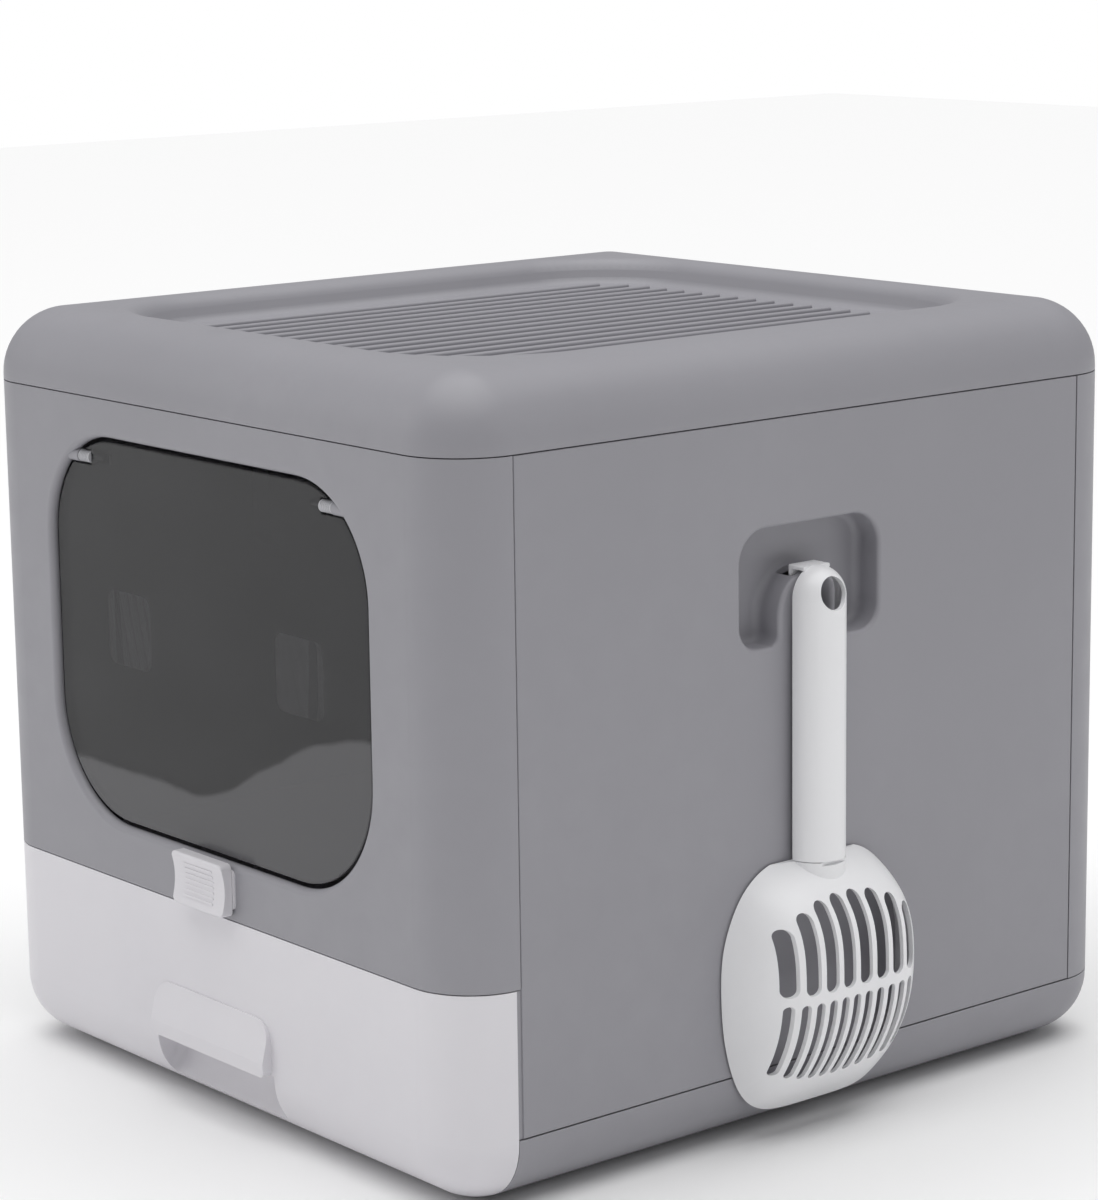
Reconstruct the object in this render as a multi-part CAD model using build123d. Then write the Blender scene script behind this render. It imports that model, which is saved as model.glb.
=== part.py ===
from build123d import *
import math
import os

# Cat litter box with a hood: a knock-down box of moulded plastic panels on a shallow
# base, with a swinging door, a pull-out litter drawer, a lid and a scoop on one side.
# Millimetres, +Z up. The door faces -Y. The origin is on the ground, midway between
# the side walls and midway between the front and the rear.

# ---------------------------------------------------------------- driving dimensions

WIDTH = 400.0            # outside, left to right
DEPTH = 438.0            # outside, front to rear
HEIGHT = 392.0           # ground to the top of the lid rim
GROUND_GAP = 1.6         # the rolled shell stands this far off the ground
WALL = 2.6               # moulded wall thickness
CORNER_RADIUS = 35.0     # upright corners
TOP_RADIUS = 34.5        # rolled upper edge of the lid
BOTTOM_RADIUS = 33.0     # rolled lower edge of the base and drawer

SEAM_BASE = 36.0         # height of the seam between base and walls
SEAM_DRAWER = 108.0      # height of the seam between drawer and front panel
SEAM_LID = 355.0         # height of the seam between walls and lid
SEAM_GAP = 0.3           # each panel stops this far short of its seam
EDGE_SOFTENING = 0.6     # rounding along the panel edges at the seams
FIT_GAP = 0.4            # gap between parts that slide in one another
LAP_THICKNESS = 2.4      # overlap strips, skirts and upstands
LAP_BEFORE = 7.0         # a side panel's strips start this far before the corner
LAP_BEYOND = 8.0         # and run this far past it
LAP_END_GAP = 2.0        # strips stop this far short of other parts
LAP_BOTTOM = 45.0        # strips start above the upstand of the base
WELD = 0.2               # features of one moulding run this far into each other

DOOR_HALF_WIDTH = 135.0
DOOR_BOTTOM = 136.5
DOOR_TOP = 335.5
DOOR_UPPER_RADIUS = 55.0
DOOR_LOWER_RADIUS = 61.0
DOOR_RIM_DEPTH = 4.4     # depth of the thickened rim round the doorway
DOOR_RIM_WIDTH = 3.0
DOOR_EDGE_ROUNDING = 3.2

FLAP_CLEARANCE = 2.3
FLAP_THICKNESS = 3.0
FLAP_EDGE_ROUNDING = 0.8
FLAP_NOTCH_GAP = 0.6     # between a lug and the flap's notch
FLAP_SOCKET_DIAMETER = 6.4
FLAP_SOCKET_LENGTH = 12.0
HINGE_Z = 323.5
HINGE_SETBACK = 4.5      # hinge axis behind the face of the front panel
PIN_HEAD_INNER = 98.2    # the ribbed pin head spans these distances from the middle
PIN_HEAD_OUTER = 107.6
PIN_HEAD_DIAMETER = 6.2
PIN_GROOVE = 0.35        # depth of each groove
PIN_GROOVES = 6
PIN_TIP_DIAMETER = 2.0
PIN_ROOT_DIAMETER = 3.0
PIN_TIP_END = 89.2
PIN_ROOT_END = 119.0
PIN_END_GAP = 0.35
PIN_FIT = 0.1            # on the diameter, where a pin turns or is pressed in
LUG_DIAMETER = 6.8
LUG_OUTER = 124.0

PAD_SIZE = 38.0
PAD_THICKNESS = 1.0
PAD_CENTRE_X = 73.0
PAD_CENTRE_Z = 238.0
PAD_CORNER_RADIUS = 6.0

LATCH_Z = 124.1
LATCH_HALF_HEIGHT = 13.3
LATCH_HALF_WIDTH = 21.7
LATCH_CORNER_RADIUS = 2.8
LATCH_EDGE_ROUNDING = 1.0
LATCH_THICKNESS = 6.2
LATCH_DISH_HALF_HEIGHT = 11.8    # the face is hollowed for a finger between these heights
LATCH_DISH_DEPTH = 2.0
LATCH_RIBS = 7
LATCH_RIB_PITCH = 2.7
LATCH_RIB_LENGTH = 25.0
LATCH_RIB_WIDTH = 1.1
LATCH_RIB_HEIGHT = 0.35
LATCH_TRAVEL = 6.0       # each way from rest
LATCH_STEM_DIAMETER = 5.0
LATCH_STEM_X = 9.0
LATCH_TRACK_THICKNESS = 1.2
LATCH_TRACK_MARGIN = 1.0
LATCH_TRACK_HEIGHT = 20.0
LATCH_SLIDE_GAP = 0.3
LATCH_RETAINER_LENGTH = 36.0
LATCH_RETAINER_HEIGHT = 5.8      # clears the rim of the doorway at full travel
LATCH_RETAINER_THICKNESS = 1.5
LATCH_SCREW_DIAMETER = 2.2
LATCH_SCREW_HEAD_DIAMETER = 4.4

LID_RECESS_FLOOR = 378.5
LID_RECESS_HALF_X = 155.0        # at the rim
LID_RECESS_HALF_Y = 177.0
LID_RECESS_CORNER = 61.0
LID_RECESS_SLOPE = 30.0          # wall angle from upright, degrees
LID_RIM_ROLL = 12.0
LID_FLOOR_ROUNDING = 7.0
LID_SKIRT_DROP = 8.0
LID_SKIRT_RISE = 5.0             # the skirt is tied to the wall up to this far above the seam
LID_FLOOR_INSET = 16.0           # the ribs follow a corner this far inside the rim
LID_RIBS = 18
LID_RIB_PITCH = 14.65
LID_RIB_WIDTH = 4.2
LID_RIB_HEIGHT = 1.9
LID_RIB_HALF_LENGTH = 154.0
LID_RIB_ROUNDING = 1.3

POCKET_CENTRE_Y = -2.0
POCKET_HALF_WIDTH = 45.5
POCKET_BOTTOM = 245.0
POCKET_TOP = 303.0
POCKET_DEPTH = 16.0
POCKET_UPPER_RADIUS = 16.5
POCKET_LOWER_RADIUS = 12.0
TONGUE_HALF_WIDTH = 20.8
TONGUE_TOP = 279.6
POCKET_EDGE_ROUNDING = 2.2
POCKET_FLOOR_ROUNDING = 4.0
POCKET_LEG_RADIUS = 5.0          # where the pocket's two legs end beside the tongue
HOOK_SLOT_BOTTOM = 267.0
HOOK_SLOT_HALF_WIDTH = 10.0
HOOK_SLOT_DEPTH = 11.5

DRAWER_FRONT_EDGE_Y = -186.6     # rear edge of the drawer front, where it wraps round
PAN_HALF_WIDTH = 190.0
PAN_FRONT_Y = -196.0
PAN_REAR_Y = 206.0
PAN_BOTTOM = 6.6
PAN_TOP = 104.0
PAN_WALL = 2.2
PAN_CORNER_RADIUS = 26.0
PAN_BOTTOM_RADIUS = 24.0
PAN_FLANGE = 3.0
GRIP_HALF_WIDTH = 49.0
GRIP_TOP = 63.5
GRIP_BOTTOM = 36.0
GRIP_PROUD = 5.4
GRIP_RECESS_HALF_WIDTH = 51.0
GRIP_RECESS_BACK = 16.0          # depth of the finger recess behind the drawer face
GRIP_RECESS_BOTTOM = 11.0
GRIP_RECESS_MIDDLE = 23.0
GRIP_RECESS_FOOT = 8.5           # depth of the recess at its lower edge
GRIP_RECESS_CORNER = 5.0
FRONT_WEB_X = 95.0               # webs that tie the drawer face to the pan
FRONT_WEB_BOTTOM = 30.0
FRONT_WEB_WIDTH = 2.0

UPSTAND_BOTTOM = 22.0            # strip inside the base that laps behind the walls
UPSTAND_TOP = 44.0
UPSTAND_SHORT = 8.0              # it stops this far behind the front corners
RUNNER_X = 120.0
RUNNER_WIDTH = 6.0
RUNNER_TOP = 6.0
RUNNER_REAR = 170.0
PLINTH_WIDTH = 300.0             # flat raised area under the base that it stands on
PLINTH_DEPTH = 340.0
PLINTH_RADIUS = 20.0

SCOOP_Y = -2.0
HANDLE_BACK_X = 203.0
HANDLE_RADIUS = 15.0
HANDLE_WALL = 2.2
HANDLE_BOTTOM = 138.8
HANDLE_DOME_Z = 267.4
HANG_HOLE_Z = 270.0
HANG_HOLE_DIAMETER = 16.0
HOOK_TAB_HALF_WIDTH = 8.6
HOOK_TAB_BOTTOM = 280.0
HOOK_TAB_THICKNESS = 2.2
HOOK_TAB_ROUNDING = 0.8
HOOK_LIP_X = 193.6
HOOK_LIP_BOTTOM = 269.0
NECK_TOP = 172.0

HEAD_BACK_X = 201.0
HEAD_CREST_X = 236.0
HEAD_CREST_Z = 84.0
HEAD_TOP = 140.0
HEAD_BOTTOM = 14.0
HEAD_HALF_WIDTH = 59.5
HEAD_TOP_TAPER = 14.0
HEAD_SIDE_POWER = 4.6            # how square the sides, the top and the lip are
HEAD_TOP_POWER = 3.3
HEAD_LIP_POWER = 2.2
HEAD_STUB_BOTTOM = 116.0         # the handle's shape runs down into the bowl to here
HEAD_GRID = 20
HEAD_MARGIN = 2.0
SEAT_DEPTH = 2.4                 # thickness of the seat under the handle
SEAT_SLIT_HALF_WIDTH = 9.5
SEAT_SLIT_HEIGHT = 1.6
HEAD_WALL = 2.2
UPPER_SLOTS = 8
UPPER_SLOT_PITCH = 11.1
UPPER_SLOT_WIDTH = 8.1
UPPER_SLOT_BOTTOM = 80.6
UPPER_SLOT_TOP = 125.2
UPPER_SLOT_ARCH = 1.3
LOWER_SLOTS = 11
LOWER_SLOT_PITCH = 7.8
LOWER_SLOT_WIDTH = 4.9
LOWER_SLOT_BOTTOM = 32.0
LOWER_SLOT_ARCH = 0.28
LOWER_SLOT_TOP = 76.4
SLOTS_Y = -4.4                   # middle of both rows of slots

# ------------------------------------------------------------------- derived values

HALF_W = WIDTH / 2
HALF_D = DEPTH / 2
FACE_Y = -HALF_D                           # face of the front panel
SEAM_Y = HALF_D - CORNER_RADIUS            # side panels end where the corners begin
LAP_OUTSIDE = WALL + FIT_GAP               # depth of the overlap strips' outer faces
LAP_INSIDE = LAP_OUTSIDE + LAP_THICKNESS
HINGE_Y = FACE_Y + HINGE_SETBACK


# --------------------------------------------------------------------- small helpers

def block(x0, x1, y0, y1, z0, z1):
    """Box between two corners."""
    corner = (Align.MIN, Align.MIN, Align.MIN)
    return Pos(x0, y0, z0) * Box(x1 - x0, y1 - y0, z1 - z0, align=corner)


def front_prism(sketch, y0, y1):
    """Extrude an (x, z) sketch between two depths."""
    return extrude(Plane.XZ.offset(-y1) * sketch, y1 - y0)


def side_prism(sketch, x0, x1):
    """Extrude a (y, z) sketch between two x values."""
    return extrude(Plane.YZ.offset(x0) * sketch, x1 - x0)


def rod_x(x0, x1, y, z, diameter):
    """Round bar along X."""
    low, high = min(x0, x1), max(x0, x1)
    bar = Cylinder(diameter / 2, high - low, align=(Align.CENTER, Align.CENTER, Align.MIN))
    return Pos(low, y, z) * Rot(0, 90, 0) * bar


def rod_y(x, y0, y1, z, diameter):
    """Round bar along Y, from y0 back to y1."""
    bar = Cylinder(diameter / 2, y1 - y0, align=(Align.CENTER, Align.CENTER, Align.MIN))
    return Pos(x, y0, z) * Rot(-90, 0, 0) * bar


def rounded_rectangle(x0, x1, z0, z1, lower_radius, upper_radius):
    """Rectangle whose lower and upper corners have their own radii."""
    sketch = Pos((x0 + x1) / 2, (z0 + z1) / 2) * Rectangle(x1 - x0, z1 - z0)
    sketch = fillet(sketch.vertices().group_by(Axis.Y)[0], lower_radius)
    return fillet(sketch.vertices().group_by(Axis.Y)[-1], upper_radius)


def outer_body(inset):
    """The whole rounded box, moved in by a distance on every side."""
    plan = RectangleRounded(WIDTH - 2 * inset, DEPTH - 2 * inset, CORNER_RADIUS - inset)
    bottom = GROUND_GAP + inset
    body = Pos(0, 0, bottom) * extrude(plan, HEIGHT - inset - bottom)
    body = fillet(body.edges().group_by(Axis.Z)[-1], TOP_RADIUS - inset)
    return fillet(body.edges().group_by(Axis.Z)[0], BOTTOM_RADIUS - inset)


def band(outside, inside, z0, z1):
    """Upright ring between two insets of the rounded box."""
    ring = outer_body(outside) - outer_body(inside)
    return ring & block(-WIDTH, WIDTH, -DEPTH, DEPTH, z0, z1)


def soften(part, edges):
    """Round the given edges a little, as a moulding's are."""
    return fillet(edges, EDGE_SOFTENING)


def mirrored(part):
    return mirror(part, about=Plane.YZ)


# --------------------------------------------------------------------------- the box

def make_base_tray():
    """Shallow base: rolled lower edges, floor, upstand behind the walls, runners."""
    front_edge = DRAWER_FRONT_EDGE_Y + FIT_GAP
    room = block(-WIDTH, WIDTH, front_edge, DEPTH, 0, SEAM_BASE - SEAM_GAP)
    tray = (outer_body(0) - outer_body(WALL)) & room
    upstand = band(LAP_OUTSIDE, LAP_INSIDE, UPSTAND_BOTTOM, UPSTAND_TOP)
    bridge = band(WALL - WELD, LAP_INSIDE, UPSTAND_BOTTOM, SEAM_BASE - 3.0)
    behind = block(-WIDTH, WIDTH, -SEAM_Y + UPSTAND_SHORT, DEPTH, 0, HEIGHT)
    tray += (upstand + bridge) & behind
    for side in (-1, 1):
        middle = side * RUNNER_X
        half = RUNNER_WIDTH / 2
        floor = GROUND_GAP + WALL - WELD
        tray += block(middle - half, middle + half, front_edge, RUNNER_REAR, floor, RUNNER_TOP)
    plinth = RectangleRounded(PLINTH_WIDTH, PLINTH_DEPTH, PLINTH_RADIUS)
    tray += extrude(plinth, GROUND_GAP + WELD)
    return tray


def pocket_outline(grow):
    left = POCKET_CENTRE_Y - POCKET_HALF_WIDTH - grow
    right = POCKET_CENTRE_Y + POCKET_HALF_WIDTH + grow
    bottom = POCKET_BOTTOM - grow
    top = POCKET_TOP + grow
    return rounded_rectangle(left, right, bottom, top,
                             POCKET_LOWER_RADIUS + grow, POCKET_UPPER_RADIUS + grow)


def tongue_outline(shrink):
    """Rounded tongue that stands in the pocket, open below."""
    radius = TONGUE_HALF_WIDTH - shrink
    arch_z = TONGUE_TOP - TONGUE_HALF_WIDTH
    foot_z = POCKET_BOTTOM - 8.0
    shank = Pos(POCKET_CENTRE_Y, (arch_z + foot_z) / 2) * Rectangle(2 * radius, arch_z - foot_z)
    return Pos(POCKET_CENTRE_Y, arch_z) * Circle(radius) + shank


def pocket_void():
    """Open part of the pocket: the outline less the tongue, with rounded leg ends."""
    void = pocket_outline(0) - tongue_outline(0)
    legs = [v for v in void.vertices() if abs(v.Y - POCKET_BOTTOM) < 0.01
            and abs(abs(v.X - POCKET_CENTRE_Y) - TONGUE_HALF_WIDTH) < 0.01]
    return fillet(legs, POCKET_LEG_RADIUS)


def make_side_panel():
    """Right wall: flat skin, overlap strips front and rear, and the scoop pocket."""
    inner = HALF_W - WALL
    end = SEAM_Y - SEAM_GAP
    low = SEAM_BASE + SEAM_GAP
    high = SEAM_LID - SEAM_GAP
    skin = block(inner, HALF_W, -end, end, low, high)
    skin = soften(skin, skin.faces().sort_by(Axis.X)[-1].edges())
    strip_in = HALF_W - LAP_INSIDE
    strip_top = SEAM_LID - LID_SKIRT_DROP - LAP_END_GAP
    welded = inner + WELD
    jamb_top = SEAM_DRAWER - SEAM_GAP
    jamb_front = DRAWER_FRONT_EDGE_Y + FIT_GAP
    for end_y, strip_low in ((-1, SEAM_DRAWER + LAP_END_GAP), (1, LAP_BOTTOM)):
        near = end_y * (SEAM_Y - LAP_BEFORE)
        far = end_y * (SEAM_Y + LAP_BEYOND)
        joint = end_y * (SEAM_Y - 1.0)
        strip = block(strip_in, HALF_W, min(near, far), max(near, far), strip_low, strip_top)
        skin += strip & outer_body(LAP_OUTSIDE)
        skin += block(strip_in, welded, min(near, joint), max(near, joint), strip_low, strip_top)
    skin += block(strip_in, HALF_W - 0.9, jamb_front, -end + WELD, low, jamb_top)
    skin += block(strip_in, welded, jamb_front, -SEAM_Y + LAP_BEFORE, LAP_BOTTOM, jamb_top)
    floor = HALF_W - POCKET_DEPTH
    skin += side_prism(pocket_outline(WALL), floor - WALL, welded)
    void = side_prism(pocket_void(), floor, HALF_W + 1.0)
    skin -= fillet(void.faces().sort_by(Axis.X)[0].edges(), POCKET_FLOOR_ROUNDING)
    in_reach = POCKET_HALF_WIDTH + 1.0
    mouth = [e for e in skin.faces().sort_by(Axis.X)[-1].edges()
             if abs(e.center().Y - POCKET_CENTRE_Y) < in_reach
             and POCKET_BOTTOM - 1.0 < e.center().Z < POCKET_TOP + 1.0]
    skin = fillet(mouth, POCKET_EDGE_ROUNDING)
    hollow = tongue_outline(WALL) & pocket_outline(WALL)
    skin -= side_prism(hollow, floor - WALL - 1.0, inner)
    slot_y0 = POCKET_CENTRE_Y - HOOK_SLOT_HALF_WIDTH
    slot_y1 = POCKET_CENTRE_Y + HOOK_SLOT_HALF_WIDTH
    skin -= block(inner - HOOK_SLOT_DEPTH, inner, slot_y0, slot_y1, HOOK_SLOT_BOTTOM, TONGUE_TOP + 1.0)
    return skin


def make_rear_panel():
    """Rear wall, wrapped round both rear corners."""
    end = SEAM_Y + SEAM_GAP
    room = block(-WIDTH, WIDTH, end, DEPTH, SEAM_BASE + SEAM_GAP, SEAM_LID - SEAM_GAP)
    return (outer_body(0) - outer_body(WALL)) & room


def doorway(inset):
    return rounded_rectangle(-DOOR_HALF_WIDTH + inset, DOOR_HALF_WIDTH - inset,
                             DOOR_BOTTOM + inset, DOOR_TOP - inset,
                             DOOR_LOWER_RADIUS - inset, DOOR_UPPER_RADIUS - inset)


def make_front_panel():
    """Front wall with the doorway, its thickened rim, hinge lugs and the latch slot."""
    end = SEAM_Y + SEAM_GAP
    room = block(-WIDTH, WIDTH, -DEPTH, -end, SEAM_DRAWER + SEAM_GAP, SEAM_LID - SEAM_GAP)
    panel = (outer_body(0) - outer_body(WALL)) & room
    rim_back = FACE_Y + DOOR_RIM_DEPTH
    panel += front_prism(doorway(-DOOR_RIM_WIDTH), FACE_Y + WALL - WELD, rim_back)
    panel -= front_prism(doorway(0), FACE_Y - 5.0, rim_back + 5.0)
    rim_edges = panel.edges().filter_by_position(Axis.Y, FACE_Y - 0.01, FACE_Y + 0.01)
    door_edges = [e for e in rim_edges if abs(e.center().X) < DOOR_HALF_WIDTH + 1
                  and DOOR_BOTTOM - 1 < e.center().Z < DOOR_TOP + 1]
    panel = fillet(door_edges, DOOR_EDGE_ROUNDING)
    for side in (-1, 1):
        panel += rod_x(side * (PIN_HEAD_OUTER + PIN_END_GAP), side * LUG_OUTER, HINGE_Y, HINGE_Z,
                       LUG_DIAMETER)
        panel -= rod_x(side * PIN_HEAD_OUTER, side * (PIN_ROOT_END + 1.0), HINGE_Y, HINGE_Z,
                       PIN_ROOT_DIAMETER + PIN_FIT)
    panel -= front_prism(stem_slot(), FACE_Y - 1.0, FACE_Y + WALL + 1.0)
    return panel


# -------------------------------------------------------------------------- the door

def make_door_flap():
    """Smoked flap with a notch and a pin socket at each upper corner."""
    front = HINGE_Y - FLAP_THICKNESS / 2
    back = HINGE_Y + FLAP_THICKNESS / 2
    flap = front_prism(doorway(FLAP_CLEARANCE), front, back)
    front_edges = flap.faces().sort_by(Axis.Y)[0].edges()
    flap = fillet(front_edges, FLAP_EDGE_ROUNDING)
    notch_low = HINGE_Z - LUG_DIAMETER / 2 - FLAP_NOTCH_GAP
    notch_high = HINGE_Z + LUG_DIAMETER / 2 + FLAP_NOTCH_GAP
    inner = PIN_HEAD_INNER - PIN_END_GAP
    behind = block(-WIDTH, WIDTH, front, back + FLAP_SOCKET_DIAMETER, 0, HEIGHT)
    for side in (-1, 1):
        edges = sorted((side * inner, side * DOOR_HALF_WIDTH))
        flap -= block(edges[0], edges[1], front - 1.0, back + 1.0, notch_low, notch_high)
        socket = rod_x(side * (inner - FLAP_SOCKET_LENGTH), side * inner, HINGE_Y, HINGE_Z,
                       FLAP_SOCKET_DIAMETER)
        flap += socket & behind
        flap -= rod_x(side * (PIN_TIP_END - 0.5), side * PIN_HEAD_INNER, HINGE_Y, HINGE_Z,
                      PIN_TIP_DIAMETER + PIN_FIT)
    return flap


def make_flap_pad(side):
    """Frosted pad stuck to the inside of the flap."""
    back = HINGE_Y + FLAP_THICKNESS / 2
    outline = Pos(side * PAD_CENTRE_X, PAD_CENTRE_Z) * RectangleRounded(PAD_SIZE, PAD_SIZE,
                                                                       PAD_CORNER_RADIUS)
    return front_prism(outline, back, back + PAD_THICKNESS)


def make_hinge_pin(side):
    """Pin with a ribbed head between the panel's lug and the flap."""
    head = rod_x(side * PIN_HEAD_INNER, side * PIN_HEAD_OUTER, HINGE_Y, HINGE_Z, PIN_HEAD_DIAMETER)
    pitch = (PIN_HEAD_OUTER - PIN_HEAD_INNER) / (PIN_GROOVES + 1)
    for index in range(PIN_GROOVES):
        middle = PIN_HEAD_INNER + pitch * (index + 1)
        near = side * (middle - PIN_GROOVE)
        far = side * (middle + PIN_GROOVE)
        ring = rod_x(near, far, HINGE_Y, HINGE_Z, PIN_HEAD_DIAMETER + 1.0)
        ring -= rod_x(near, far, HINGE_Y, HINGE_Z, PIN_HEAD_DIAMETER - 2 * PIN_GROOVE)
        head -= ring
    head += rod_x(side * PIN_TIP_END, side * (PIN_HEAD_INNER + WELD), HINGE_Y, HINGE_Z,
                  PIN_TIP_DIAMETER)
    head += rod_x(side * (PIN_HEAD_OUTER - WELD), side * PIN_ROOT_END, HINGE_Y, HINGE_Z,
                  PIN_ROOT_DIAMETER)
    return head


# ------------------------------------------------------------------------- the latch

def make_latch_slider():
    """Slide button: cap with a hollowed, ribbed face and two stems through the panel."""
    back = FACE_Y - LATCH_TRACK_THICKNESS - LATCH_SLIDE_GAP
    front = back - LATCH_THICKNESS
    outline = RectangleRounded(2 * LATCH_HALF_WIDTH, 2 * LATCH_HALF_HEIGHT, LATCH_CORNER_RADIUS)
    cap = front_prism(Pos(0, LATCH_Z) * outline, front, back)
    cap = fillet(cap.faces().sort_by(Axis.Y)[0].edges(), LATCH_EDGE_ROUNDING)
    chord = LATCH_DISH_HALF_HEIGHT
    dish_radius = (chord ** 2 + LATCH_DISH_DEPTH ** 2) / (2 * LATCH_DISH_DEPTH)
    dish_y = front + LATCH_DISH_DEPTH - dish_radius
    cap -= rod_x(-WIDTH, WIDTH, dish_y, LATCH_Z, 2 * dish_radius)
    for index in range(LATCH_RIBS):
        middle = LATCH_Z + (index - (LATCH_RIBS - 1) / 2) * LATCH_RIB_PITCH
        rib = Pos(0, middle) * SlotOverall(LATCH_RIB_LENGTH, LATCH_RIB_WIDTH)
        crest = rod_x(-WIDTH, WIDTH, dish_y, LATCH_Z, 2 * (dish_radius - LATCH_RIB_HEIGHT))
        cap += front_prism(rib, front, back - 1.0) - crest
    stem_end = FACE_Y + WALL + LATCH_SLIDE_GAP
    for side in (-1, 1):
        x = side * LATCH_STEM_X
        cap += rod_y(x, back - WELD, stem_end, LATCH_Z, LATCH_STEM_DIAMETER)
        cap -= rod_y(x, back - 1.5, stem_end + 1.0, LATCH_Z, LATCH_SCREW_DIAMETER + PIN_FIT)
    return cap


def stem_slot():
    """Space that the two stems need as the button slides."""
    half_x = LATCH_STEM_X + LATCH_STEM_DIAMETER / 2 + FIT_GAP
    half_z = LATCH_STEM_DIAMETER / 2 + LATCH_TRAVEL + FIT_GAP
    return Pos(0, LATCH_Z) * Rectangle(2 * half_x, 2 * half_z)


def make_latch_track():
    """Thin plate that the button slides on, fixed to the face of the front panel."""
    width = 2 * (LATCH_HALF_WIDTH + LATCH_TRACK_MARGIN)
    plate = Pos(0, LATCH_Z) * RectangleRounded(width, LATCH_TRACK_HEIGHT, LATCH_CORNER_RADIUS)
    return front_prism(plate - stem_slot(), FACE_Y - LATCH_TRACK_THICKNESS, FACE_Y)


def make_latch_retainer():
    """Bar behind the panel that keeps the button on."""
    front = FACE_Y + WALL + LATCH_SLIDE_GAP
    back = front + LATCH_RETAINER_THICKNESS
    outline = RectangleRounded(LATCH_RETAINER_LENGTH, LATCH_RETAINER_HEIGHT, 1.5)
    bar = front_prism(Pos(0, LATCH_Z) * outline, front, back)
    for side in (-1, 1):
        bar -= rod_y(side * LATCH_STEM_X, front - 1.0, back + 1.0, LATCH_Z,
                     LATCH_SCREW_DIAMETER + LATCH_SLIDE_GAP)
    return bar


def make_latch_screws():
    """Two small screws through the retainer into the stems."""
    seat = FACE_Y + WALL + LATCH_SLIDE_GAP + LATCH_RETAINER_THICKNESS
    arm = 1.4                # half length and half width of the cross recess
    half = 0.3
    screws = []
    for side in (-1, 1):
        x = side * LATCH_STEM_X
        screw = rod_y(x, seat, seat + 1.4, LATCH_Z, LATCH_SCREW_HEAD_DIAMETER)
        screw += rod_y(x, seat - 6.0, seat + WELD, LATCH_Z, LATCH_SCREW_DIAMETER)
        screw -= block(x - arm, x + arm, seat + 0.8, seat + 2.0, LATCH_Z - half, LATCH_Z + half)
        screw -= block(x - half, x + half, seat + 0.8, seat + 2.0, LATCH_Z - arm, LATCH_Z + arm)
        screws.append(screw)
    return Compound(children=screws)


# --------------------------------------------------------------------------- the lid

def recess_volume(grow):
    """Space of the lid's shallow bed, or that space grown by a wall thickness."""
    rise = HEIGHT + 20.0 - LID_RECESS_FLOOR
    run = (HEIGHT - LID_RECESS_FLOOR) * math.tan(math.radians(LID_RECESS_SLOPE))
    half_x = LID_RECESS_HALF_X - run + grow
    half_y = LID_RECESS_HALF_Y - run + grow
    plan = RectangleRounded(2 * half_x, 2 * half_y, LID_RECESS_CORNER - run + grow)
    space = Pos(0, 0, LID_RECESS_FLOOR - grow) * extrude(plan, rise, taper=-LID_RECESS_SLOPE)
    return fillet(space.edges().group_by(Axis.Z)[0], LID_FLOOR_ROUNDING + grow)


def make_hood_lid():
    """Lid with a rolled rim, a ribbed recess on top and a skirt inside the walls."""
    above = block(-WIDTH, WIDTH, -DEPTH, DEPTH, SEAM_LID + SEAM_GAP, HEIGHT + 1.0)
    outside = outer_body(0) & above
    cavity = outer_body(WALL) - recess_volume(WALL)
    lid = outside - recess_volume(0)
    top_edges = [e for e in lid.edges() if e.center().Z > HEIGHT - 0.05
                 and abs(e.center().X) < LID_RECESS_HALF_X + 2
                 and abs(e.center().Y) < LID_RECESS_HALF_Y + 2]
    lid = fillet(top_edges, LID_RIM_ROLL)
    lid -= cavity
    lid += band(WALL - WELD, LAP_INSIDE, SEAM_LID + SEAM_GAP, SEAM_LID + LID_SKIRT_RISE)
    lid += band(LAP_OUTSIDE, LAP_INSIDE, SEAM_LID - LID_SKIRT_DROP, SEAM_LID + 1.0)
    floor_half_x = LID_RECESS_HALF_X - LID_FLOOR_INSET
    corner_r = LID_RECESS_CORNER - LID_FLOOR_INSET
    for index in range(LID_RIBS):
        x = (index - (LID_RIBS - 1) / 2) * LID_RIB_PITCH
        into_corner = max(0.0, abs(x) - (floor_half_x - corner_r))
        shorter = corner_r - math.sqrt(corner_r ** 2 - into_corner ** 2)
        length = 2 * (LID_RIB_HALF_LENGTH - shorter)
        outline = Rot(0, 0, 90) * SlotOverall(length, LID_RIB_WIDTH)
        rib = extrude(outline, LID_RIB_HEIGHT + WELD)
        rib = fillet(rib.edges().group_by(Axis.Z)[-1], LID_RIB_ROUNDING)
        lid += Pos(x, 0, LID_RECESS_FLOOR - WELD) * rib
    return lid


# ------------------------------------------------------------------------ the drawer

def grip_recess(grow):
    """Finger recess under the grip, seen from the side, open to the front and below."""
    back = FACE_Y + GRIP_RECESS_BACK + grow
    ahead = FACE_Y - 12.0
    roof_z = GRIP_BOTTOM + grow
    low_y = FACE_Y + GRIP_RECESS_FOOT + grow
    low_z = GRIP_RECESS_BOTTOM - grow
    roof = Line((ahead, roof_z), (back, roof_z))
    wall = ThreePointArc((back, roof_z), (back - 0.8, GRIP_RECESS_MIDDLE - grow / 2), (low_y, low_z))
    under = Line((low_y, low_z), (ahead, 2.0))
    front = Line((ahead, 2.0), (ahead, roof_z))
    profile = make_face(Curve() + [roof, wall, under, front])
    half = GRIP_RECESS_HALF_WIDTH + grow
    space = side_prism(profile, -half, half)
    upright = [e for e in space.edges() if abs(abs(e.center().X) - half) < 0.01
               and e.geom_type == GeomType.CIRCLE]
    return fillet(upright, GRIP_RECESS_CORNER + grow)


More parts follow.
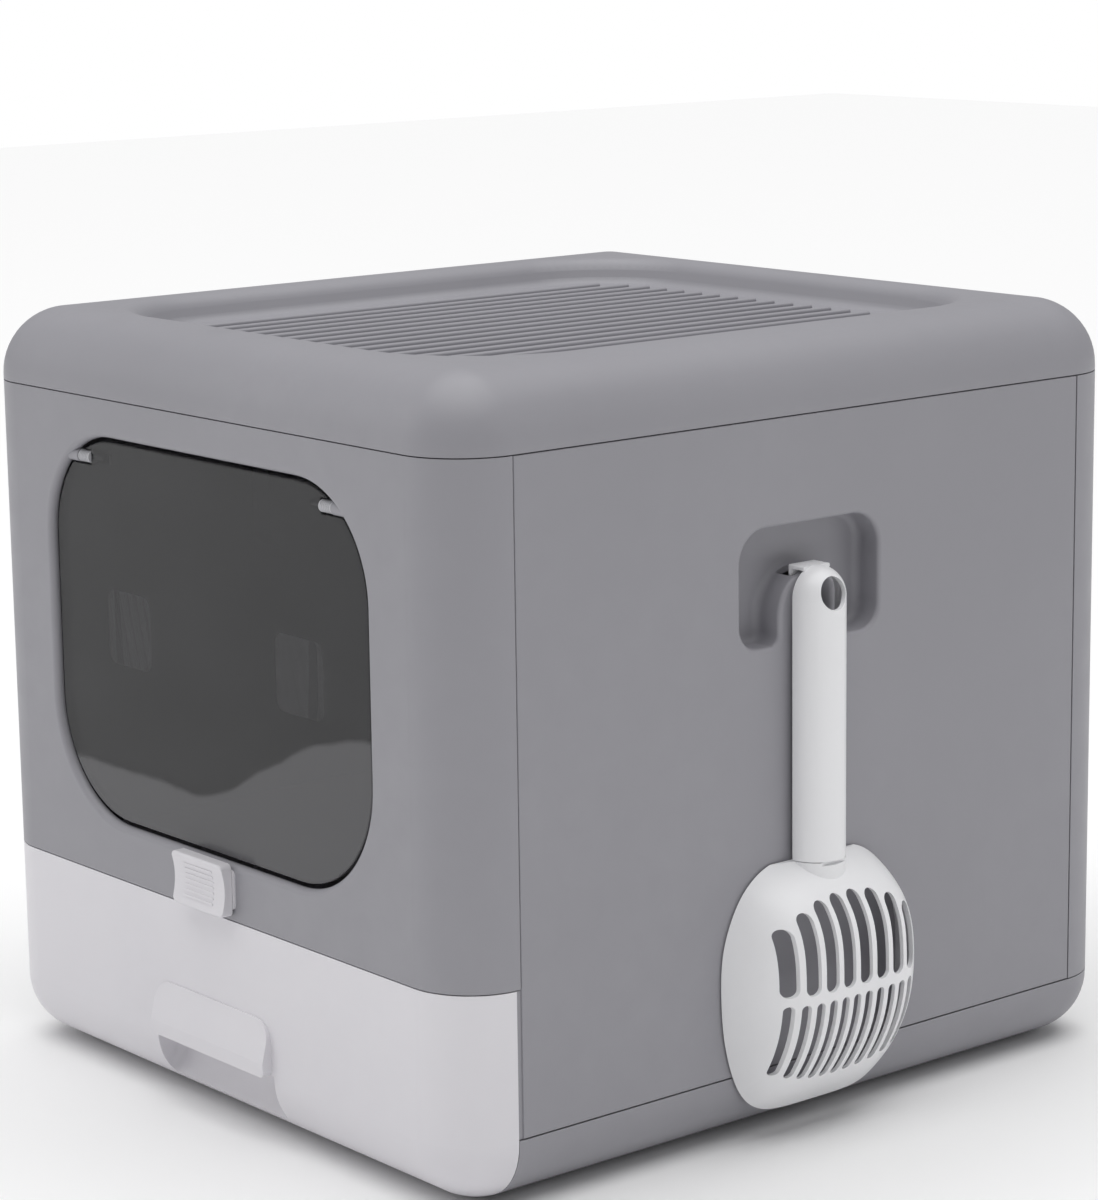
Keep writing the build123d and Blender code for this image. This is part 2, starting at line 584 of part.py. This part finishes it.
def make_litter_drawer():
    """Litter pan with the box's lower front as its face, a lipped grip and a flange."""
    room = block(-WIDTH, WIDTH, -DEPTH, DRAWER_FRONT_EDGE_Y, 0, SEAM_DRAWER - SEAM_GAP)
    inside = outer_body(WALL)
    front = (outer_body(0) - inside) & room
    plan_y = (PAN_FRONT_Y + PAN_REAR_Y) / 2
    pan_depth = PAN_REAR_Y - PAN_FRONT_Y
    plan = RectangleRounded(2 * PAN_HALF_WIDTH, pan_depth, PAN_CORNER_RADIUS)
    tub = Pos(0, plan_y, PAN_BOTTOM) * extrude(plan, PAN_TOP - PAN_BOTTOM)
    tub = fillet(tub.edges().group_by(Axis.Z)[0], PAN_BOTTOM_RADIUS)
    inner_plan = RectangleRounded(2 * (PAN_HALF_WIDTH - PAN_WALL), pan_depth - 2 * PAN_WALL,
                                  PAN_CORNER_RADIUS - PAN_WALL)
    hollow = Pos(0, plan_y, PAN_BOTTOM + PAN_WALL) * extrude(inner_plan, PAN_TOP)
    hollow = fillet(hollow.edges().group_by(Axis.Z)[0], PAN_BOTTOM_RADIUS - PAN_WALL)
    flange_plan = RectangleRounded(2 * (PAN_HALF_WIDTH + PAN_FLANGE), pan_depth + 2 * PAN_FLANGE,
                                   PAN_CORNER_RADIUS + PAN_FLANGE)
    flange = Pos(0, plan_y, PAN_TOP - PAN_WALL) * extrude(flange_plan, PAN_WALL)
    deck = block(-WIDTH, WIDTH, FACE_Y, PAN_FRONT_Y + PAN_CORNER_RADIUS, PAN_TOP - PAN_WALL, PAN_TOP)
    deck &= outer_body(WALL - WELD) & room
    drawer = front + tub + flange + deck
    for side in (-1, 1):
        x0 = side * FRONT_WEB_X - FRONT_WEB_WIDTH / 2
        web = block(x0, x0 + FRONT_WEB_WIDTH, FACE_Y, PAN_FRONT_Y + WELD, FRONT_WEB_BOTTOM,
                    PAN_TOP - WELD)
        drawer += web & outer_body(WALL - WELD)
    drawer += grip_recess(PAN_WALL) & outer_body(WALL - WELD)
    drawer += grip_lip()
    drawer -= hollow
    drawer -= grip_recess(0)
    return drawer


def grip_lip():
    """Pad on the drawer face that swells outwards to a lip over the finger recess."""
    top, low = GRIP_TOP, GRIP_BOTTOM
    face = FACE_Y - GRIP_PROUD
    points = [(FACE_Y + WALL, top), (FACE_Y - 0.7, top), (face, low + 7.0), (face, low),
              (FACE_Y + WALL, low)]
    wedge = side_prism(make_face(Polyline(points, close=True)), -GRIP_HALF_WIDTH, GRIP_HALF_WIDTH)
    outline = rounded_rectangle(-GRIP_HALF_WIDTH, GRIP_HALF_WIDTH, low, top, 2.5, 11.0)
    lip = wedge & front_prism(outline, face - 5.0, FACE_Y + WALL)
    return lip


# ------------------------------------------------------------------------- the scoop

def half_round(radius, z0, z1, domed):
    """Half cylinder standing on the scoop's centre line, with a ball end if domed."""
    length = z1 - z0
    solid = Pos(HANDLE_BACK_X, SCOOP_Y, z0) * Cylinder(
        radius, length, align=(Align.CENTER, Align.CENTER, Align.MIN))
    if domed:
        solid += Pos(HANDLE_BACK_X, SCOOP_Y, z1) * Sphere(radius)
    return solid & block(HANDLE_BACK_X, HANDLE_BACK_X + 40, -60, 60, 0, HEIGHT)


def make_scoop_handle():
    """Half-tube handle with a domed end, a hang hole and a hook strip on its back."""
    outside = half_round(HANDLE_RADIUS, HANDLE_BOTTOM, HANDLE_DOME_Z, True)
    inside = half_round(HANDLE_RADIUS - HANDLE_WALL, HANDLE_BOTTOM - 5.0, HANDLE_DOME_Z, True)
    handle = outside - inside
    hole = Pos(SCOOP_Y, HANG_HOLE_Z) * Circle(HANG_HOLE_DIAMETER / 2)
    handle -= side_prism(hole, HANDLE_BACK_X, HANDLE_BACK_X + 2 * HANDLE_RADIUS)
    strip_top = HOOK_TAB_BOTTOM + HOOK_TAB_THICKNESS
    y0 = SCOOP_Y - HOOK_TAB_HALF_WIDTH
    y1 = SCOOP_Y + HOOK_TAB_HALF_WIDTH
    strip = block(HOOK_LIP_X, HANDLE_BACK_X + 1.0, y0, y1, HOOK_TAB_BOTTOM, strip_top)
    strip += block(HOOK_LIP_X, HOOK_LIP_X + HOOK_TAB_THICKNESS, y0, y1, HOOK_LIP_BOTTOM, strip_top)
    strip = fillet(strip.edges().filter_by(Axis.X), HOOK_TAB_ROUNDING)
    return handle + strip


def head_height(y, z, inset):
    """How far the head's crowned face stands out over its back plane at (y, z)."""
    rise = HEAD_CREST_X - HEAD_BACK_X - inset
    taper = min(1.0, max(0.0, (z - HEAD_CREST_Z) / (HEAD_TOP - HEAD_CREST_Z)))
    half_width = HEAD_HALF_WIDTH - HEAD_TOP_TAPER * taper ** 2 - inset
    across = abs(y - SCOOP_Y) / half_width
    if z > HEAD_CREST_Z:
        along = (z - HEAD_CREST_Z) / (HEAD_TOP - HEAD_CREST_Z - inset)
        fall = across ** HEAD_SIDE_POWER + along ** HEAD_TOP_POWER
    else:
        along = (HEAD_CREST_Z - z) / (HEAD_CREST_Z - HEAD_BOTTOM - inset)
        fall = across ** HEAD_SIDE_POWER + along ** HEAD_LIP_POWER
    return rise * (1.0 - fall)


def head_solid(inset):
    """The head as a solid lump, or its hollow when inset by the wall."""
    rows = []
    for row in range(HEAD_GRID + 1):
        height = HEAD_TOP - HEAD_BOTTOM + 2 * HEAD_MARGIN
        z = HEAD_BOTTOM - HEAD_MARGIN + height * row / HEAD_GRID
        points = []
        for column in range(HEAD_GRID + 1):
            y = SCOOP_Y + (HEAD_HALF_WIDTH + HEAD_MARGIN) * (2.0 * column / HEAD_GRID - 1.0)
            points.append(Vector(HEAD_BACK_X + head_height(y, z, inset), y, z))
        rows.append(points)
    face = Face.make_surface_from_array_of_points(rows, tol=0.05, min_deg=3, max_deg=5)
    lump = extrude(face, WIDTH, dir=(-1, 0, 0))
    return lump & block(HEAD_BACK_X, HEAD_CREST_X + 5.0, -WIDTH, WIDTH, 0, HANDLE_BOTTOM - FIT_GAP)


def slot_cut(y, z0, z1, width):
    """Round-ended slot through the head."""
    tool = Pos(y, (z0 + z1) / 2) * Rot(0, 0, 90) * SlotOverall(z1 - z0, width)
    return side_prism(tool, HEAD_BACK_X + 5.0, HEAD_CREST_X + 10.0)


def make_scoop_head():
    """Slotted head: crowned bowl, two rows of slots and a neck inside the handle."""
    seat_z = HANDLE_BOTTOM - FIT_GAP
    head = head_solid(0) + half_round(HANDLE_RADIUS, HEAD_STUB_BOTTOM, seat_z, False)
    head -= head_solid(HEAD_WALL)
    head -= half_round(HANDLE_RADIUS - HEAD_WALL, HEAD_STUB_BOTTOM - 1.0, seat_z - SEAT_DEPTH, False)
    neck_radius = HANDLE_RADIUS - HANDLE_WALL - FIT_GAP
    neck = half_round(neck_radius, seat_z - WELD, NECK_TOP, False)
    neck -= half_round(neck_radius - HEAD_WALL, seat_z, NECK_TOP + 1.0, False)
    head += neck
    head -= block(HANDLE_BACK_X + neck_radius + WELD, HEAD_CREST_X,
                  SCOOP_Y - SEAT_SLIT_HALF_WIDTH, SCOOP_Y + SEAT_SLIT_HALF_WIDTH,
                  seat_z - SEAT_SLIT_HEIGHT, seat_z + 1.0)
    for index in range(UPPER_SLOTS):
        place = index - (UPPER_SLOTS - 1) / 2
        top = UPPER_SLOT_TOP - UPPER_SLOT_ARCH * (abs(place) - 0.5) ** 2
        head -= slot_cut(SLOTS_Y + place * UPPER_SLOT_PITCH, UPPER_SLOT_BOTTOM, top,
                         UPPER_SLOT_WIDTH)
    for index in range(LOWER_SLOTS):
        place = index - (LOWER_SLOTS - 1) / 2
        bottom = LOWER_SLOT_BOTTOM + LOWER_SLOT_ARCH * place ** 2
        head -= slot_cut(SLOTS_Y + place * LOWER_SLOT_PITCH, bottom, LOWER_SLOT_TOP,
                         LOWER_SLOT_WIDTH)
    return head


# ------------------------------------------------------------------------ all pieces

def all_parts():
    right_panel = make_side_panel()
    return {
        "base_tray": make_base_tray(),
        "right_side_panel": right_panel,
        "left_side_panel": mirrored(right_panel),
        "rear_panel": make_rear_panel(),
        "front_panel": make_front_panel(),
        "door_flap": make_door_flap(),
        "flap_pad_left": make_flap_pad(-1),
        "flap_pad_right": make_flap_pad(1),
        "hinge_pin_left": make_hinge_pin(-1),
        "hinge_pin_right": make_hinge_pin(1),
        "latch_slider": make_latch_slider(),
        "latch_track": make_latch_track(),
        "latch_retainer": make_latch_retainer(),
        "latch_screws": make_latch_screws(),
        "hood_lid": make_hood_lid(),
        "litter_drawer": make_litter_drawer(),
        "scoop_handle": make_scoop_handle(),
        "scoop_head": make_scoop_head(),
    }


os.makedirs("parts", exist_ok=True)
for name, shape in all_parts().items():
    export_step(shape, f"parts/{name}.step")
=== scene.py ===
import math

import bpy
from mathutils import Matrix, Vector

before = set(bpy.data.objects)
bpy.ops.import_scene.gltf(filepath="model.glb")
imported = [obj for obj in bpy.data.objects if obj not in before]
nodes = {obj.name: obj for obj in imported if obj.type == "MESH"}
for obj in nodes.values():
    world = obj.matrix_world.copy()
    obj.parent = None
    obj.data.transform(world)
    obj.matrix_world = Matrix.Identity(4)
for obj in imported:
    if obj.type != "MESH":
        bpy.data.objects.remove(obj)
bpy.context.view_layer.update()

scene = bpy.context.scene

# Painted reflection at the foot of the flap: a paler band painted into its colour, in metres; its
# top edge rises from left to right.
REFLECTION_LEFT_X = -0.020
REFLECTION_RIGHT_X = 0.125
REFLECTION_LEFT_Z = 0.165
REFLECTION_RIGHT_Z = 0.217
REFLECTION_WAVE = 0.003
REFLECTION_SOFTNESS = 0.0015

# Light strengths, and the camera, which looks down on the front right corner.
OVERHEAD_STRENGTH = 2.4
OVERHEAD_ANGLE = 1.3
FRONT_LIGHT_POWER = 12.0
SIDE_LIGHT_POWER = 5.0
FILL_STRENGTH = 0.30
FLOOR_HALF = 6.0
CAMERA_YAW = 0.8832
CAMERA_PITCH = 0.1987
CAMERA_ROLL = -0.0138
CAMERA_PLACE = (1.41708, -1.16409, 0.60412)
CAMERA_SENSOR = 36.0
CAMERA_LENS = 3570.25 / 1200.0 * CAMERA_SENSOR

# ------------------------------------------------------------------ node-tree helpers


def new_material(name):
    """An empty node material, with the tree and its output."""
    material = bpy.data.materials.new(name)
    material.use_nodes = True
    tree = material.node_tree
    tree.nodes.clear()
    output = tree.nodes.new("ShaderNodeOutputMaterial")
    shader = tree.nodes.new("ShaderNodeBsdfPrincipled")
    tree.links.new(shader.outputs["BSDF"], output.inputs["Surface"])
    return material, tree, shader


def srgb(r, g, b):
    """A colour given as 0 to 255 sRGB, made linear."""
    linear = []
    for value in (r, g, b):
        c = value / 255.0
        linear.append(c / 12.92 if c <= 0.04045 else ((c + 0.055) / 1.055) ** 2.4)
    return (*linear, 1.0)


def object_place(tree):
    """Texture coordinates fixed to the object."""
    return tree.nodes.new("ShaderNodeTexCoord").outputs["Object"]


def noise(tree, place, scale, detail=3.0, roughness=0.5, stretch=(1.0, 1.0, 1.0)):
    """Noise in metres: scale is waves per metre."""
    mapping = tree.nodes.new("ShaderNodeMapping")
    mapping.inputs["Scale"].default_value = stretch
    tree.links.new(place, mapping.inputs["Vector"])
    texture = tree.nodes.new("ShaderNodeTexNoise")
    texture.inputs["Scale"].default_value = scale
    texture.inputs["Detail"].default_value = detail
    texture.inputs["Roughness"].default_value = roughness
    tree.links.new(mapping.outputs["Vector"], texture.inputs["Vector"])
    return texture.outputs["Fac"]


def remap(tree, value, low, high, to_low, to_high):
    """A value moved from one range to another, clamped."""
    node = tree.nodes.new("ShaderNodeMapRange")
    node.inputs["From Min"].default_value = low
    node.inputs["From Max"].default_value = high
    node.inputs["To Min"].default_value = to_low
    node.inputs["To Max"].default_value = to_high
    tree.links.new(value, node.inputs["Value"])
    return node.outputs["Result"]


def mix_colour(tree, factor, first, second, blend="MIX"):
    """Two colours mixed; each is a constant or a socket."""
    node = tree.nodes.new("ShaderNodeMix")
    node.data_type = "RGBA"
    node.blend_type = blend
    for value, socket in ((factor, 0), (first, 6), (second, 7)):
        if isinstance(value, bpy.types.NodeSocket):
            tree.links.new(value, node.inputs[socket])
        else:
            node.inputs[socket].default_value = value
    return node.outputs[2]


def math_node(tree, operation, first, second=None):
    node = tree.nodes.new("ShaderNodeMath")
    node.operation = operation
    for value, socket in ((first, 0), (second, 1)):
        if value is None:
            continue
        if isinstance(value, bpy.types.NodeSocket):
            tree.links.new(value, node.inputs[socket])
        else:
            node.inputs[socket].default_value = value
    return node.outputs[0]


def bump(tree, height, strength, distance, under=None):
    node = tree.nodes.new("ShaderNodeBump")
    node.inputs["Strength"].default_value = strength
    node.inputs["Distance"].default_value = distance
    tree.links.new(height, node.inputs["Height"])
    if under is not None:
        tree.links.new(under, node.inputs["Normal"])
    return node.outputs["Normal"]


# ------------------------------------------------------------------------- materials


def moulded_plastic(name, colour, pale, dark, roughness, grain=0.35):
    """Satin injection-moulded plastic: fine spark grain, faint flow marks, rubbed edges."""
    material, tree, shader = new_material(name)
    place = object_place(tree)
    flow = noise(tree, place, 5.0, 4.0, 0.55, (1.0, 1.0, 0.6))
    mottle = noise(tree, place, 60.0, 3.0, 0.6)
    grain_noise = noise(tree, place, 2600.0, 2.0, 0.6)
    shade = mix_colour(tree, remap(tree, flow, 0.35, 0.65, 0.0, 1.0), dark, pale)
    shade = mix_colour(tree, remap(tree, mottle, 0.3, 0.7, 0.25, 0.75), shade, colour)
    edge = tree.nodes.new("ShaderNodeNewGeometry").outputs["Pointiness"]
    rub = remap(tree, edge, 0.52, 0.60, 0.0, 0.35)
    shade = mix_colour(tree, rub, shade, pale)
    tree.links.new(shade, shader.inputs["Base Color"])
    gloss = remap(tree, mottle, 0.3, 0.7, roughness - 0.04, roughness + 0.05)
    tree.links.new(gloss, shader.inputs["Roughness"])
    relief = bump(tree, grain_noise, grain, 0.0001)
    relief = bump(tree, flow, 0.06, 0.0015, relief)
    tree.links.new(relief, shader.inputs["Normal"])
    shader.inputs["IOR"].default_value = 1.5
    return material


shell_grey = moulded_plastic("shell_grey", srgb(150, 149, 155), srgb(154, 153, 159),
                             srgb(147, 146, 152), 0.46)
drawer_white = moulded_plastic("drawer_white", srgb(224, 222, 227), srgb(229, 227, 231),
                               srgb(219, 217, 222), 0.42)
latch_white = moulded_plastic("latch_white", srgb(222, 220, 225), srgb(227, 225, 229),
                              srgb(217, 215, 220), 0.40)
scoop_white = moulded_plastic("scoop_white", srgb(240, 240, 242), srgb(244, 244, 246),
                              srgb(236, 236, 238), 0.34)
pad_frost = moulded_plastic("pad_frost", srgb(176, 176, 180), srgb(184, 184, 188),
                            srgb(168, 168, 172), 0.62, 0.5)
pin_grey = moulded_plastic("pin_grey", srgb(190, 190, 194), srgb(196, 196, 200),
                           srgb(184, 184, 188), 0.40)


def separate(tree, vector):
    node = tree.nodes.new("ShaderNodeSeparateXYZ")
    tree.links.new(vector, node.inputs["Vector"])
    return node.outputs


def smoked_acrylic():
    """Dark glossy sheet, half see-through, with a painted reflection low down (a paler, less
    see-through band) and fine wear.
    """
    material, tree, shader = new_material("flap_smoke")
    origin = nodes["door_flap"].matrix_world.translation
    place = object_place(tree)
    axes = separate(tree, place)
    # Top edge of the painted reflection, rising from left to right with a small wave.
    step = tree.nodes.new("ShaderNodeMapRange")
    step.interpolation_type = "SMOOTHSTEP"
    step.inputs["From Min"].default_value = REFLECTION_LEFT_X - origin.x
    step.inputs["From Max"].default_value = REFLECTION_RIGHT_X - origin.x
    step.inputs["To Min"].default_value = REFLECTION_LEFT_Z - origin.z
    step.inputs["To Max"].default_value = REFLECTION_RIGHT_Z - origin.z
    tree.links.new(axes["X"], step.inputs["Value"])
    wave = noise(tree, place, 22.0, 3.0, 0.5)
    wander = remap(tree, wave, 0.3, 0.7, -REFLECTION_WAVE, REFLECTION_WAVE)
    edge = math_node(tree, "ADD", step.outputs["Result"], wander)
    above = math_node(tree, "SUBTRACT", axes["Z"], edge)
    painted_reflection = remap(tree, above, -REFLECTION_SOFTNESS, REFLECTION_SOFTNESS, 1.0, 0.0)
    haze = noise(tree, place, 9.0, 4.0, 0.55, (1.0, 1.0, 2.0))
    smoke = mix_colour(tree, remap(tree, haze, 0.3, 0.7, 0.0, 1.0), (0.012, 0.012, 0.014, 1.0),
                       (0.026, 0.026, 0.029, 1.0))
    # Below that edge the colour turns a paler grey and the sheet less see-through: a painted
    # reflection.
    tree.links.new(mix_colour(tree, painted_reflection, smoke, (0.085, 0.084, 0.090, 1.0)),
                   shader.inputs["Base Color"])
    scuffs = noise(tree, place, 420.0, 3.0, 0.6, (1.0, 1.0, 0.15))
    tree.links.new(remap(tree, scuffs, 0.35, 0.75, 0.10, 0.24), shader.inputs["Roughness"])
    tree.links.new(remap(tree, painted_reflection, 0.0, 1.0, 0.62, 0.85), shader.inputs["Alpha"])
    relief = bump(tree, haze, 0.12, 0.001)
    tree.links.new(bump(tree, scuffs, 0.08, 0.0001, relief), shader.inputs["Normal"])
    shader.inputs["IOR"].default_value = 1.49
    return material


def steel():
    material, tree, shader = new_material("screw_steel")
    shader.inputs["Base Color"].default_value = srgb(170, 172, 175)
    shader.inputs["Metallic"].default_value = 1.0
    place = object_place(tree)
    brushed = noise(tree, place, 900.0, 2.0, 0.6, (1.0, 1.0, 0.1))
    tree.links.new(remap(tree, brushed, 0.3, 0.7, 0.24, 0.40), shader.inputs["Roughness"])
    tree.links.new(bump(tree, brushed, 0.2, 0.0001), shader.inputs["Normal"])
    return material


flap_smoke = smoked_acrylic()
screw_steel = steel()

FINISH = {
    "base_tray": shell_grey, "left_side_panel": shell_grey, "right_side_panel": shell_grey,
    "rear_panel": shell_grey, "front_panel": shell_grey, "hood_lid": shell_grey,
    "litter_drawer": drawer_white, "latch_slider": latch_white, "latch_track": latch_white,
    "latch_retainer": latch_white, "latch_screws": screw_steel,
    "hinge_pin_left": pin_grey, "hinge_pin_right": pin_grey,
    "door_flap": flap_smoke, "flap_pad_left": pad_frost, "flap_pad_right": pad_frost,
    "scoop_handle": scoop_white, "scoop_head": scoop_white,
}
for name, material in FINISH.items():
    mesh = nodes[name].data
    mesh.materials.clear()
    mesh.materials.append(material)

# ----------------------------------------------------------------------------- stage


def make_floor():
    half = FLOOR_HALF
    mesh = bpy.data.meshes.new("floor")
    corners = [(-half, -half, 0), (half, -half, 0), (half, half, 0), (-half, half, 0)]
    mesh.from_pydata([(x, y, -0.0002) for x, y, z in corners], [], [(0, 1, 2, 3)])
    floor = bpy.data.objects.new("floor", mesh)
    scene.collection.objects.link(floor)
    material, tree, shader = new_material("floor_paper")
    shader.inputs["Base Color"].default_value = (0.92, 0.92, 0.92, 1.0)
    shader.inputs["Roughness"].default_value = 0.9
    mesh.materials.append(material)


def area_light(name, place, target, size, power):
    data = bpy.data.lights.new(name, "AREA")
    data.shape = "RECTANGLE"
    data.size, data.size_y = size
    data.energy = power
    lamp = bpy.data.objects.new(name, data)
    scene.collection.objects.link(lamp)
    lamp.location = place
    aim = Vector(target) - Vector(place)
    lamp.rotation_mode = "QUATERNION"
    lamp.rotation_quaternion = aim.to_track_quat("-Z", "Y")
    return lamp


def overhead_light(strength):
    """Very soft light from straight above that reaches the whole floor evenly."""
    data = bpy.data.lights.new("overhead", "SUN")
    data.energy = strength
    data.angle = OVERHEAD_ANGLE
    lamp = bpy.data.objects.new("overhead", data)
    scene.collection.objects.link(lamp)
    lamp.location = (0.0, 0.0, 3.0)


def soft_world():
    """White backdrop for the camera, weaker fill for everything it lights."""
    world = bpy.data.worlds.new("studio")
    world.use_nodes = True
    tree = world.node_tree
    background = tree.nodes["Background"]
    background.inputs["Color"].default_value = (1.0, 1.0, 1.0, 1.0)
    seen = tree.nodes.new("ShaderNodeLightPath").outputs["Is Camera Ray"]
    tree.links.new(remap(tree, seen, 0.0, 1.0, FILL_STRENGTH, 1.0), background.inputs["Strength"])
    scene.world = world


make_floor()
overhead_light(OVERHEAD_STRENGTH)
area_light("front_left", (-2.0, -2.2, 1.5), (0.0, 0.0, 0.2), (1.8, 1.8), FRONT_LIGHT_POWER)
area_light("rear_right", (2.4, 1.6, 1.4), (0.0, 0.0, 0.2), (1.6, 1.6), SIDE_LIGHT_POWER)
soft_world()
scene.view_settings.view_transform = "Standard"
scene.view_settings.look = "None"

# ---------------------------------------------------------------------------- camera


def make_camera():
    data = bpy.data.cameras.new("photo_view")
    camera = bpy.data.objects.new("photo_view", data)
    scene.collection.objects.link(camera)
    yaw, pitch, roll = CAMERA_YAW, CAMERA_PITCH, CAMERA_ROLL
    forward = Vector((-math.sin(yaw) * math.cos(pitch), math.cos(yaw) * math.cos(pitch),
                      -math.sin(pitch)))
    level = Vector((math.cos(yaw), math.sin(yaw), 0.0))
    upright = level.cross(forward)
    right = math.cos(roll) * level + math.sin(roll) * upright
    up = -math.sin(roll) * level + math.cos(roll) * upright
    back = -forward
    turn = Matrix((right, up, back)).transposed()
    camera.matrix_world = Matrix.Translation(CAMERA_PLACE) @ turn.to_4x4()
    data.sensor_width = CAMERA_SENSOR
    data.lens = CAMERA_LENS
    data.clip_start = 0.05
    data.clip_end = 30.0
    scene.camera = camera


make_camera()
